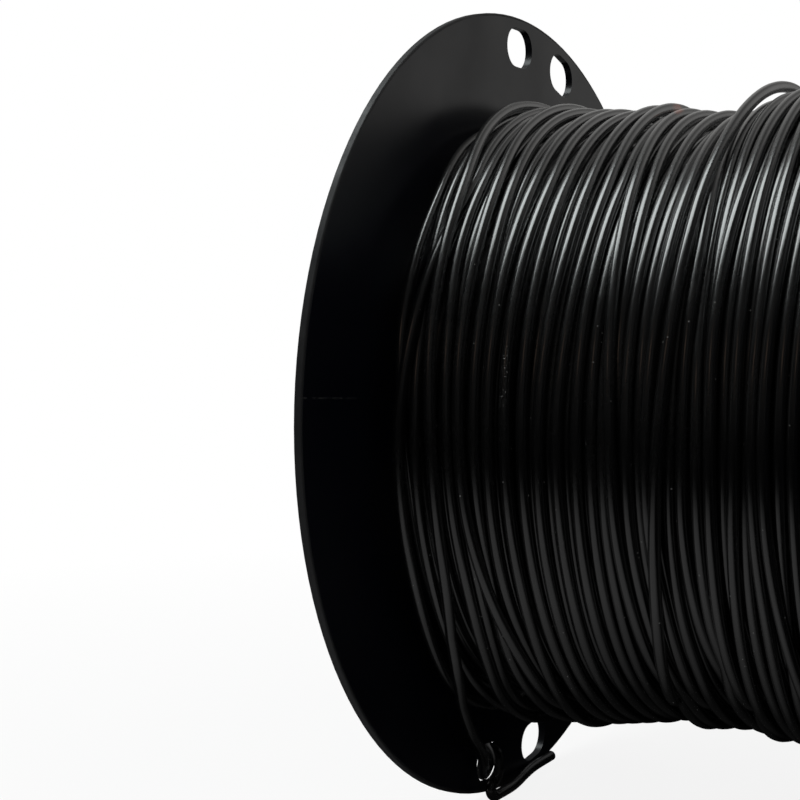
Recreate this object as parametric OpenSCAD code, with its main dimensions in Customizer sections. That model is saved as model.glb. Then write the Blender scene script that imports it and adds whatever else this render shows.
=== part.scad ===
// Wire spool: two thin round flanges snapped onto a barrel, an arbor tube through the
// middle, and one length of insulated solid wire wound on it. The axis lies along X,
// the origin is the middle of the arbor bore, and angles run from +Y towards +Z.

/* [Flanges] */
// Outer diameter of each flange
flange_d = 210; // [200:5:240]
// Thickness of each flange plate
flange_t = 2; // [1.6:0.2:3]
// Clear width between the flanges
traverse = 116; // [100:2:140]
// Radius of the rim's edges
rim_round = 0.4; // [0.2:0.1:0.7]

/* [Anchor holes] */
// Length of an oval hole, along the rim
anchor_l = 15; // [13:1:18]
// Width of an oval hole, across the rim
anchor_w = 10.5; // [8:0.5:12]
// Strip of plate between a hole and the rim
anchor_edge = 2.75; // [2:0.25:5]
// Angle between the two holes of a pair
anchor_step = 16; // [14:1:24]

/* [Barrel and hub] */
// Outer diameter of the barrel
barrel_d = 100; // [85:5:110]
// Wall of the barrel
barrel_t = 2.8; // [2.4:0.2:4]
// How far a flange's spigot reaches into the barrel
spigot_l = 10; // [9:1:16]
// Wall of the spigot
spigot_t = 2; // [1.6:0.2:3]
// How deep the hub lies below the flange's outer face
hub_recess = 4; // [3:0.5:8]
// Thickness of the hub's web
web_t = 2; // [1.6:0.2:3]
// Number of ribs on the web
rib_count = 8; // [4:1:12]
// Thickness of a rib
rib_t = 1.6; // [1.2:0.2:3]
// How far a rib's top lies below the flange's outer face
rib_drop = 1; // [0.5:0.5:2]

/* [Arbor] */
// Diameter of the arbor bore
arbor_bore_d = 28.6; // [20:0.2:34]
// Wall of the arbor tube
arbor_t = 2.7; // [2:0.1:4]
// Wall of the socket that holds the arbor tube's end
socket_t = 2.3; // [1.6:0.1:4]
// Depth of that socket
socket_l = 4; // [2:0.5:8]

/* [Snap latches] */
// Number of latches that hold a flange on the barrel
latch_count = 4; // [2:1:6]
// Width of a latch
latch_w = 8; // [5:1:12]
// Length of a latch, along the axis
latch_l = 3; // [2:0.5:3.5]
// How far a latch stands out of the spigot
latch_h = 1.8; // [1:0.2:2.2]

/* [Wire] */
// Outer diameter of the wire, over its jacket
wire_d = 2.8; // [2:0.1:3.2]
// Diameter of the copper conductor
conductor_d = 1.63; // [1:0.01:1.8]
// How far the bare conductor stands out of the cut end
conductor_out = 0.6; // [0.4:0.1:3]
// Outer diameter of the winding, beside the flanges
winding_d = 162; // [140:2:170]
// How far the middle of the winding lies below its ends
winding_sag = 3.8; // [0:0.2:6]
// Turns shown in the outer layer, at most
turns = 24; // [12:1:24]

/* [Clearances] */
// Gap between a spigot or arbor tube and what holds it
fit_gap = 0.2; // [0.1:0.05:0.4]
// Gap round a latch in its window
latch_gap = 0.4; // [0.3:0.1:0.6]
// Gap between the wire and what it lies against
wire_gap = 0.1; // [0.05:0.05:0.2]

/* [Hidden] */

$fn = 96;
rim_segments = 4;
embed = 0.5;

// Middle angles of the pairs of anchor holes on the flange at +X
anchor_pairs = [99, 270];

flange_r = flange_d / 2;
anchor_r = flange_r - anchor_edge - anchor_w / 2;
half_w = traverse / 2;
barrel_r = barrel_d / 2;
barrel_in_r = barrel_r - barrel_t;
spigot_r = barrel_in_r - fit_gap;
hub_r = spigot_r - spigot_t;
bore_r = arbor_bore_d / 2;
arbor_r = bore_r + arbor_t;
socket_r = arbor_r + fit_gap;
boss_r = socket_r + socket_t;
web_top = flange_t - hub_recess;
web_bottom = web_top - web_t;
spigot_end = min(-spigot_l, web_bottom - socket_l);
latch_from = web_bottom - latch_gap - 0.6;
arbor_half_l = half_w + web_bottom;

// Wound layers
wire_r = wire_d / 2;
winding_r = winding_d / 2;
sag_half_w = 46;
taper_w = 8;
taper_h = 2;
core_steps = 24;
core_half_w = half_w - 3 * wire_gap;

// Outer layer: 24 rings of 6 sides to a turn
turn_rings = 24;
turn_sides = 6;
bend_r = 2 * wire_d;
first_x = half_w - 3 * wire_gap - wire_d - bend_r;
last_x = -(half_w - 10.2);
back_turns = 0.8;
cross_turns = 0.4;
loops = min(turns, floor((first_x - last_x) / (wire_d + 0.8) + back_turns));
laid = loops - back_turns;
pitch = (first_x - last_x) / laid;
tail_x = last_x + 2.15 * pitch;
tail_angle = 218;
lean_angle = 23;
lean_x = 3;
lift = wire_d + 0.6;
chord_drop = winding_r * (1 - cos(180 / turn_rings));

// Free end of the wire: 8 sides, from the winding to its anchor hole, out through the
// hole and back through it, and round along the rim
tail_sides = 8;
tail_steps = 2;
tail_points = [
    [-43.7, -58.5, -62],
    [-45.7, -53.6, -66.8],
    [-48.4, -47, -72.8],
    [-51.3, -36.2, -82.6],
    [-53.8, -26.8, -89],
    [-56.1, -21.1, -93.6],
    [-58.1, -17.9, -96.8],
    [-60, -14.6, -99.2],
    [-61.4, -10.6, -100.8],
    [-62.2, -7, -100.4],
    [-62.4, -5, -98.6],
    [-62.3, -4.9, -96.5],
    [-62.3, -5.7, -94.8],
    [-61.4, -7.8, -93.7],
    [-59.8, -10, -93.1],
    [-57.5, -12.3, -92.8],
    [-55.6, -14.2, -93.2],
    [-54.2, -15.7, -94.6],
    [-53.7, -16.3, -96.4],
    [-53.8, -16.9, -98.1],
    [-54.1, -18, -99.5],
    [-54.2, -19.4, -100.4],
    [-54.2, -20.2, -101.6],
    [-54.1, -19.8, -102.8],
    [-53.9, -18.5, -103.5],
    [-53.8, -16.2, -103.5],
    [-53.8, -12.6, -103.5],
    [-54, -8, -103.5],
    [-54.7, -2.5, -103.4],
    [-55.6, 3, -103.2],
    [-56.2, 8.5, -102.9],
    [-56.4, 14, -102.7],
    [-56.4, 18.5, -102.6],
    [-56.4, 22, -102.5]
];

function unit(v) = v / norm(v);
function clamp01(t) = max(0, min(1, t));
function smooth(t) = let(c = clamp01(t)) c * c * (3 - 2 * c);
function on_drum(x, r, a) = [x, r * cos(a), r * sin(a)];
function turns_to_angle(u) = tail_angle - 360 * (loops - u);

// Radius of the winding's surface at x: it sags in the middle and tapers towards the
// flanges
function crest_r(x) =
    winding_r
    - winding_sag * pow(cos(90 * min(1, abs(x) / sag_half_w)), 2)
    - taper_h * smooth((abs(x) - half_w + taper_w) / taper_w);

function wire_centre_r(x) = crest_r(x) - wire_r;

// Radius of the plain core under the outer layer, clear of the wire's flat chords
function core_r(x) =
    min([for (dx = [-wire_r, 0, wire_r]) wire_centre_r(x + dx)]) - wire_r - chord_drop - wire_gap;

// The outer layer's route: laid from right to left, then back over the last turns
function turn_x(u) =
    u < laid
        ? first_x - pitch * u
        : last_x + (tail_x - last_x) * smooth((u - laid) / cross_turns)
          - lean_x * pow(clamp01((turns_to_angle(u) - tail_angle + lean_angle) / lean_angle), 2);

function turn_r(u) = wire_centre_r(turn_x(u)) + lift * smooth((u - laid + 0.2) / 0.25);

function turn_point(u) = on_drum(turn_x(u), turn_r(u), turns_to_angle(u));

// The right end comes square off the flange and bends into the first turn
start_r = wire_centre_r(first_x);
start_angle = turns_to_angle(0);
function start_point(forward, across) =
    on_drum(first_x + across, start_r, start_angle - (bend_r - forward) / start_r * 180 / PI);

turn_start = concat(
    [start_point(0, bend_r + wire_d)],
    [for (f = [0:22.5:67.5]) start_point(bend_r * (1 - cos(f)), bend_r * (1 - sin(f)))]
);
turn_route = [for (i = [0:loops * turn_rings]) turn_point(i / turn_rings)];
turn_last = turn_route[len(turn_route) - 1];
turn_heading = unit(turn_last - turn_route[len(turn_route) - 2]);
turn_end = turn_last + wire_d * turn_heading;
outer_route = concat(turn_start, turn_route, [turn_end]);

// The tail starts where the outer layer ends, face to face
tail_knots = concat(
    [for (i = [0:2]) turn_end + (wire_gap + i * wire_d) * turn_heading],
    tail_points
);
tail_route = curve_through(tail_knots, tail_steps);
tail_tip = tail_route[len(tail_route) - 1];
tail_tip_heading = unit(tail_tip - tail_route[len(tail_route) - 2]);

// A smooth curve through the knots (Catmull-Rom), with steps points to each stretch
function curve_through(knots, steps) =
    let(
        last = len(knots) - 1,
        all = concat([2 * knots[0] - knots[1]], knots, [2 * knots[last] - knots[last - 1]])
    )
    concat(
        [for (i = [1:last], s = [0:steps - 1])
            curve_point(all[i - 1], all[i], all[i + 1], all[i + 2], s / steps)],
        [knots[last]]
    );
function curve_point(a, b, c, d, t) =
    (2 * b + (c - a) * t + (2 * a - 5 * b + 4 * c - d) * t * t
     + (3 * b - a - 3 * c + d) * t * t * t) / 2;

// Directions along a route, and side directions carried along it without twist
function headings(route) = let(last = len(route) - 1)
    [for (i = [0:last]) unit(route[min(i + 1, last)] - route[max(i - 1, 0)])];
function square_to(v, heading) = unit(v - (v * heading) * heading);
function sides_along(ways, first) =
    [for (i = 0, v = square_to(first, ways[0]); i < len(ways);
          v = square_to(v, ways[min(i + 1, len(ways) - 1)]), i = i + 1) v];

// A round tube along a route, as triangles: ring after ring, with flat ends
module tube_along(route, d, sides, first_side) {
    ways = headings(route);
    ups = sides_along(ways, first_side);
    rings = len(route);
    points = [for (i = [0:rings - 1], k = [0:sides - 1])
        route[i] + d / 2 * (cos(360 * k / sides) * ups[i]
                            + sin(360 * k / sides) * cross(ways[i], ups[i]))];
    wall = [for (i = [0:rings - 2], k = [0:sides - 1]) let(
            a = i * sides + k,
            b = i * sides + (k + 1) % sides
        ) each [[a, a + sides, b], [b, a + sides, b + sides]]];
    first_cap = [for (k = [1:sides - 2]) [0, k, k + 1]];
    top = (rings - 1) * sides;
    last_cap = [for (k = [1:sides - 2]) [top, top + k + 1, top + k]];
    polyhedron(points = points, faces = concat(first_cap, wall, last_cap), convexity = 10);
}

// Least gap between a turn and the turns beside or under it, measured on points and
// on the middles of the stretches between them
turn_samples = [for (i = [0:len(turn_route) - 2])
    each [turn_route[i], (turn_route[i] + turn_route[i + 1]) / 2]];
per_turn = 2 * turn_rings;
least_gap = min([for (i = [0:len(turn_samples) - 1])
    for (j = [i + per_turn / 2:min(i + 7 * per_turn / 2, len(turn_samples) - 1)])
        norm(turn_samples[i] - turn_samples[j])]) - wire_d;
echo(loops = loops, pitch = pitch, least_gap = least_gap);

// A flange with its inner face at z = 0 and its outer face up
module flange_section() {
    corner = flange_r - rim_round;
    arc = [for (i = [0:rim_segments]) 90 * i / rim_segments];
    lower = [for (a = arc) [corner + rim_round * sin(a), rim_round - rim_round * cos(a)]];
    upper = [for (a = arc) [corner + rim_round * cos(a), flange_t - rim_round + rim_round * sin(a)]];
    polygon(concat(
        [[bore_r, flange_t], [bore_r, web_bottom], [socket_r, web_bottom],
         [socket_r, web_bottom - socket_l], [boss_r, web_bottom - socket_l],
         [boss_r, web_bottom], [hub_r, web_bottom], [hub_r, spigot_end],
         [spigot_r, spigot_end], [spigot_r, 0]],
        lower,
        upper,
        [[hub_r, flange_t], [hub_r, web_top], [boss_r, web_top], [boss_r, flange_t]]
    ));
}

// An oval hole through a flange, long way along the rim
module anchor_hole() {
    half_straight = (anchor_l - anchor_w) / 2;
    translate([0, 0, -embed])
        linear_extrude(flange_t + 2 * embed)
            union() {
                translate([0, -half_straight])
                    circle(d = anchor_w);
                translate([0, half_straight])
                    circle(d = anchor_w);
                square([anchor_w, 2 * half_straight], center = true);
            }
}

module hub_rib() {
    rib_h = hub_recess - rib_drop + embed;
    translate([boss_r - embed, -rib_t / 2, web_top - embed])
        cube([hub_r - boss_r + 2 * embed, rib_t, rib_h]);
}

// One block of a latch ring: wide by high, cut out of a ring round the axis
module latch_block(outer_r, inner_r, wide, long, top) {
    translate([0, 0, top - long])
        intersection() {
            difference() {
                cylinder(r = outer_r, h = long);
                translate([0, 0, -embed])
                    cylinder(r = inner_r, h = long + 2 * embed);
            }
            translate([0, -wide / 2, 0])
                cube([outer_r + embed, wide, long]);
        }
}

module each_latch() {
    for (i = [0:latch_count - 1])
        rotate(360 * (i + 0.5) / latch_count)
            children();
}

module flange() {
    difference() {
        union() {
            rotate_extrude()
                flange_section();
            for (i = [0:rib_count - 1])
                rotate(360 * i / rib_count)
                    hub_rib();
            each_latch()
                latch_block(spigot_r + latch_h, spigot_r - embed, latch_w, latch_l, latch_from);
        }
        for (middle = anchor_pairs, side = [-1, 1])
            rotate(middle + 90 + side * anchor_step / 2)
                translate([anchor_r, 0, 0])
                    anchor_hole();
    }
}

module right_flange() {
    color([0.05, 0.05, 0.06])
        translate([half_w, 0, 0])
            rotate([0, 90, 0])
                flange();
}

// The same moulding as the right flange, turned end for end
module left_flange() {
    color([0.05, 0.05, 0.06])
        rotate([0, 0, 180])
            translate([half_w, 0, 0])
                rotate([0, 90, 0])
                    flange();
}

// Windows for the latches near one end of the barrel, which ends at z = 0
module latch_windows() {
    each_latch()
        latch_block(barrel_r + embed, barrel_in_r - embed, latch_w + 2 * latch_gap,
                    latch_l + 2 * latch_gap, latch_from + latch_gap);
}

module barrel() {
    color([0.07, 0.07, 0.08])
        difference() {
            rotate([0, 90, 0])
                difference() {
                    cylinder(r = barrel_r, h = traverse, center = true);
                    cylinder(r = barrel_in_r, h = traverse + 2 * embed, center = true);
                }
            for (turn = [0, 180])
                rotate([0, 0, turn])
                    translate([half_w, 0, 0])
                        rotate([0, 90, 0])
                            latch_windows();
        }
}

module arbor_tube() {
    color([0.09, 0.09, 0.1])
        rotate([0, 90, 0])
            difference() {
                cylinder(r = arbor_r, h = 2 * arbor_half_l, center = true);
                cylinder(r = bore_r, h = 2 * arbor_half_l + 2 * embed, center = true);
            }
}

// The wound layers under the outer one, as one solid ring round the barrel
module inner_layers() {
    surface = [for (i = [0:core_steps]) let(x = core_half_w * (2 * i / core_steps - 1))
        [core_r(x), x]];
    color([0.06, 0.06, 0.06])
        rotate([0, 90, 0])
            rotate_extrude()
                polygon(concat(
                    [[barrel_r + fit_gap, core_half_w], [barrel_r + fit_gap, -core_half_w]],
                    surface
                ));
}

module outer_layer() {
    color([0.1, 0.1, 0.1])
        tube_along(outer_route, wire_d, turn_sides, [0, cos(start_angle), sin(start_angle)]);
}

module wire_tail() {
    color([0.1, 0.1, 0.1])
        tube_along(tail_route, wire_d, tail_sides, [1, 0, 0]);
}

// The copper core, where it stands out of the tail's cut end
module tail_conductor() {
    lean = acos(tail_tip_heading.z);
    bearing = atan2(tail_tip_heading.y, tail_tip_heading.x);
    color([0.75, 0.42, 0.25])
        translate(tail_tip)
            rotate([0, lean, bearing])
                cylinder(d = conductor_d, h = conductor_out, $fn = 24);
}

left_flange();
right_flange();
barrel();
arbor_tube();
inner_layers();
outer_layer();
wire_tail();
tail_conductor();
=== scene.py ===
import math

import bpy
import numpy as np
from mathutils import Matrix, Vector


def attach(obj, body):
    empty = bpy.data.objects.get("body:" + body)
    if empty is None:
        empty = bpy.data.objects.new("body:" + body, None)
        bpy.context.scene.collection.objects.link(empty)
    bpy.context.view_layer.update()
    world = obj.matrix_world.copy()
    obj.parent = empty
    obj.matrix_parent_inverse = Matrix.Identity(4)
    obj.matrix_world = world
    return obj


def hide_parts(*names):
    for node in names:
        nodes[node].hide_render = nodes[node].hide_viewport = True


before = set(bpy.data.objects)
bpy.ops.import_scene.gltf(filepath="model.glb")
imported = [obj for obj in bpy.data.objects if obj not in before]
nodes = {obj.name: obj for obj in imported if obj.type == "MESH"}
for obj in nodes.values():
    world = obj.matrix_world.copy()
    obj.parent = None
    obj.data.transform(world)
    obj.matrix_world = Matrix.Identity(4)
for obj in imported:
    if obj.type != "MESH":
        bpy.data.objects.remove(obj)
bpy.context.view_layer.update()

# ----------------------------------------------------------------- shared sizes
# Millimetres until a mesh is made. Angles run from +Y towards +Z, in degrees,
# so 90 is the top of the winding, 180 its front and 270 its bottom.
MM = 0.001
WIRE_D = 2.8
WIRE_R = WIRE_D / 2
HALF_WIDTH = 58.0  # from the middle to the inner face of a flange
BARREL_R = 50.2
WINDING_R = 81.0
WINDING_SAG = 3.8
SAG_HALF_W = 46.0
TAPER_W = 8.0
TAPER_H = 2.0
HANG = 1.2  # the turns hang down this far as a whole
BELLY = 2.0  # and this much more under the left side
BELLY_FROM, BELLY_W = 12, 34
DIP = 1.5  # beside the loose turn at the top, on its left
DIP_FROM, DIP_W = 5, 6
DIP_TO, DIP_END_W = 18, 4
HUMP = 2.5  # and on its right
HUMP_FROM, HUMP_W = 15, 7
LEVEL_STEP = 2.4  # from one layer of wire to the next
FLOOR_Z = -105.0


def smooth(t):
    """0 below 0, 1 above 1 and an S-curve, 3t^2 - 2t^3, between."""
    c = np.clip(t, 0, 1)
    return c * c * (3 - 2 * c)


def crest(x):
    """Radius of the winding's surface at x: it sags in the middle as a squared cosine
    and tapers in an S-curve beside the flanges."""
    x = np.abs(x)
    sag = np.cos(np.pi / 2 * np.minimum(1, x / SAG_HALF_W)) ** 2
    return WINDING_R - WINDING_SAG * sag - TAPER_H * smooth((x - HALF_WIDTH + TAPER_W) / TAPER_W)


def hang(x, angle):
    """How far the loose turns stand out at an angle: less at the top and more at the
    bottom, as a sine, and more again under the left side, as its square. Beside the
    loose turn at the top there is a dip on the left and a hump on the right, as the
    sixth power of the sine."""
    s = np.sin(np.radians(angle))
    top = np.maximum(0, s) ** 6
    belly = BELLY * smooth((BELLY_FROM - x) / BELLY_W) * np.maximum(0, -s) ** 2
    dip = DIP * smooth((x - DIP_FROM) / DIP_W) * smooth((DIP_TO - x) / DIP_END_W)
    hump = HUMP * smooth((x - HUMP_FROM) / HUMP_W)
    return belly + (hump - dip) * top - HANG * s


# ----------------------------------------------------------------- camera
CAMERA_AT = (143.125, -404.145, 26.775)
CAMERA_YAW = math.radians(-30.45)
CAMERA_PITCH = math.radians(-3.25)
CAMERA_ROLL = math.radians(0.18)
CAMERA_LENS = 74.025


def make_camera():
    """A camera at CAMERA_AT that looks along the yaw and pitch, and is rolled a little."""
    ahead = Vector(
        (
            math.sin(CAMERA_YAW) * math.cos(CAMERA_PITCH),
            math.cos(CAMERA_YAW) * math.cos(CAMERA_PITCH),
            math.sin(CAMERA_PITCH),
        )
    )
    level = Vector((math.cos(CAMERA_YAW), -math.sin(CAMERA_YAW), 0))
    upward = level.cross(ahead)
    side = level * math.cos(CAMERA_ROLL) + upward * math.sin(CAMERA_ROLL)
    top = upward * math.cos(CAMERA_ROLL) - level * math.sin(CAMERA_ROLL)
    turn = Matrix((side, top, -ahead)).transposed()
    data = bpy.data.cameras.new("camera")
    data.sensor_width = 36
    data.lens = CAMERA_LENS
    data.clip_start = 0.01
    data.clip_end = 50
    camera = bpy.data.objects.new("camera", data)
    camera.matrix_world = Matrix.Translation(Vector(CAMERA_AT) * MM) @ turn.to_4x4()
    bpy.context.scene.collection.objects.link(camera)
    bpy.context.scene.camera = camera


make_camera()


# ----------------------------------------------------------------- meshes
def mesh_from_grid(name, points, closed_round=False, uv=None, caps=False):
    """A mesh of quads over a grid of points (rows, columns, 3), in millimetres. With
    closed_round the last column joins the first. uv is a grid one column wider. With
    caps a flat face closes each end."""
    rows, cols = points.shape[:2]
    across = cols if closed_round else cols - 1
    row, col = np.meshgrid(np.arange(rows - 1), np.arange(across), indexing="ij")
    after = (col + 1) % cols
    quads = np.stack(
        [row * cols + col, row * cols + after, (row + 1) * cols + after, (row + 1) * cols + col], -1
    ).reshape(-1, 4)
    faces = quads.tolist()
    if caps:
        faces.append(list(range(cols))[::-1])
        faces.append([(rows - 1) * cols + k for k in range(cols)])
    mesh = bpy.data.meshes.new(name)
    mesh.from_pydata((points.reshape(-1, 3) * MM).tolist(), [], faces)
    if uv is not None:
        layer = mesh.uv_layers.new(name="along_wire")
        corners = np.stack(
            [uv[row, col], uv[row, col + 1], uv[row + 1, col + 1], uv[row + 1, col]], 2
        ).reshape(-1, 2)
        values = np.zeros((len(mesh.loops), 2), np.float32)
        values[: len(corners)] = corners
        layer.data.foreach_set("uv", values.ravel())
    mesh.shade_smooth()
    if caps:
        for cap in mesh.polygons[-2:]:
            cap.use_smooth = False
    mesh.update()
    obj = bpy.data.objects.new(name, mesh)
    bpy.context.scene.collection.objects.link(obj)
    return obj


def unit(v):
    """Directions scaled to length 1."""
    return v / np.linalg.norm(v, axis=-1, keepdims=True)


END_RING = 0.02  # how far the second ring lies from each end


def tube(name, path, sides, diameter, outward, start_length=0.0):
    """A round tube along a path. Each ring stands square to the path: its first
    direction is outward with the part along the path taken away, its second is
    their cross product, and a point lies at the angle v between them. A second ring
    close to each end keeps the shading of the end off the side."""
    near_end = END_RING * unit(path[[1, -2]] - path[[0, -1]])
    second_ring, last_but_one = path[0] + near_end[0], path[-1] + near_end[1]
    path = np.vstack([path[:1], second_ring, path[1:-1], last_but_one, path[-1:]])
    outward = np.vstack([outward[:1], outward, outward[-1:]])
    heading = unit(np.gradient(path, axis=0))
    first = unit(outward - (outward * heading).sum(-1, keepdims=True) * heading)
    second = np.cross(heading, first)
    v = np.linspace(0, 2 * np.pi, sides, endpoint=False) + np.pi
    v = v[None, :, None]
    ring = np.cos(v) * first[:, None] + np.sin(v) * second[:, None]
    points = path[:, None] + diameter / 2 * ring
    length = np.concatenate([[0], np.cumsum(np.linalg.norm(np.diff(path, axis=0), axis=1))])
    u = (start_length + length) * MM
    uv = np.stack(np.broadcast_arrays(u[:, None], np.linspace(0, 1, sides + 1)[None]), -1)
    obj = mesh_from_grid(name, points, closed_round=True, uv=uv, caps=True)
    return obj, start_length + length[-1]


def through(knots, steps):
    """Points on a smooth curve through the knots, a cubic on each stretch whose slope at
    a knot is half the step from the knot before it to the one after it (Catmull-Rom)."""
    k = np.asarray(knots, float)
    k = np.vstack([2 * k[0] - k[1], k, 2 * k[-1] - k[-2]])
    a, b, c, d = (k[i : len(k) - 3 + i][:, None] for i in range(4))
    t = (np.arange(steps) / steps)[None, :, None]
    bend, twist = 2 * a - 5 * b + 4 * c - d, 3 * b - a - 3 * c + d
    curve = (2 * b + (c - a) * t + bend * t**2 + twist * t**3) / 2
    return np.vstack([curve.reshape(-1, 3), k[-2]])


# ----------------------------------------------------------------- wire tail
# The free end starts where the winding's last turn ends, runs down to the flange, out
# through its anchor hole, round, back through the hole and along the rim.
TAIL_GAP = 0.1  # between the winding's end and the tail's first point
TAIL_SIDES = 20
TAIL_FACES = (0, -0.77, -0.64)  # the way that the tail's first side faces
TURN_END = np.array([-42.1403, -63.9469, -53.4551])
TURN_HEADING = np.array([-0.121015, 0.498871, -0.858186])
TAIL_KNOTS = np.array(
    [TURN_END + (TAIL_GAP + i * WIRE_D) * TURN_HEADING for i in range(3)]
    + [
        (-43.7, -58.5, -62),
        (-45.7, -53.6, -66.8),
        (-48.4, -47, -72.8),
        (-51.3, -36.2, -82.6),
        (-53.8, -26.8, -89),
        (-56.1, -21.1, -93.6),
        (-58.1, -17.9, -96.8),
        (-60, -14.6, -99.2),
        (-61.4, -10.6, -100.8),
        (-62.2, -7, -100.4),
        (-62.4, -5, -98.6),
        (-62.3, -4.9, -96.5),
        (-62.3, -5.7, -94.8),
        (-61.4, -7.8, -93.7),
        (-59.8, -10, -93.1),
        (-57.5, -12.3, -92.8),
        (-55.6, -14.2, -93.2),
        (-54.2, -15.7, -94.6),
        (-53.7, -16.3, -96.4),
        (-53.8, -16.9, -98.1),
        (-54.1, -18, -99.5),
        (-54.2, -19.4, -100.4),
        (-54.2, -20.2, -101.6),
        (-54.1, -19.8, -102.8),
        (-53.9, -18.5, -103.5),
        (-53.8, -16.2, -103.5),
        (-53.8, -12.6, -103.5),
        (-54, -8, -103.5),
        (-54.7, -2.5, -103.4),
        (-55.6, 3, -103.2),
        (-56.2, 8.5, -102.9),
        (-56.4, 14, -102.7),
        (-56.4, 18.5, -102.6),
        (-56.4, 22, -102.5),
    ]
)

tail_path = through(TAIL_KNOTS, 10)


def carried_sides(path, first):
    """Side directions carried along a path without twist, each the last one squared to
    the path's heading."""
    heading = unit(np.gradient(path, axis=0))
    out = [np.asarray(first, float)]
    for h in heading:
        side = out[-1] - (out[-1] @ h) * h
        out.append(side / np.linalg.norm(side))
    return np.array(out[1:])


tail_sides = carried_sides(tail_path, TAIL_FACES)
wire_tail, _ = tube("wire_tail_jacket", tail_path, TAIL_SIDES, WIRE_D, tail_sides)
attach(wire_tail, "root")
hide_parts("wire_tail")

# ----------------------------------------------------------------- winding
# One continuous wire, turn after turn from right to left. Each row: how far the turn
# stands over (or under) the winding's surface in front, in steps of LEVEL_STEP; x of its
# centre at 120, 135 ... 240 degrees; x at the back. The last row runs on into the tail.
# All x values of OUTER_ROWS, most of the uneven rows of UNDER_ROWS, part of LAST_ROW and
# TURN_LAST, TURN_END and TURN_HEADING were worked out beforehand by other programs, not
# here.
ROW_ANGLES = np.arange(120, 241, 15)


def sunk_at_foot(level, later, until=290):
    """(angle, level) pairs of a row that lies lower under the winding."""
    return ((235, 0.0), (250, level), (until, later), (310, 0.0))


def raised_at_top(start, height):
    """(angle, level) pairs of a row that another one lifts at the top."""
    return ((60, start), (85, height), (100, height), (135, 0.0))


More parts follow.
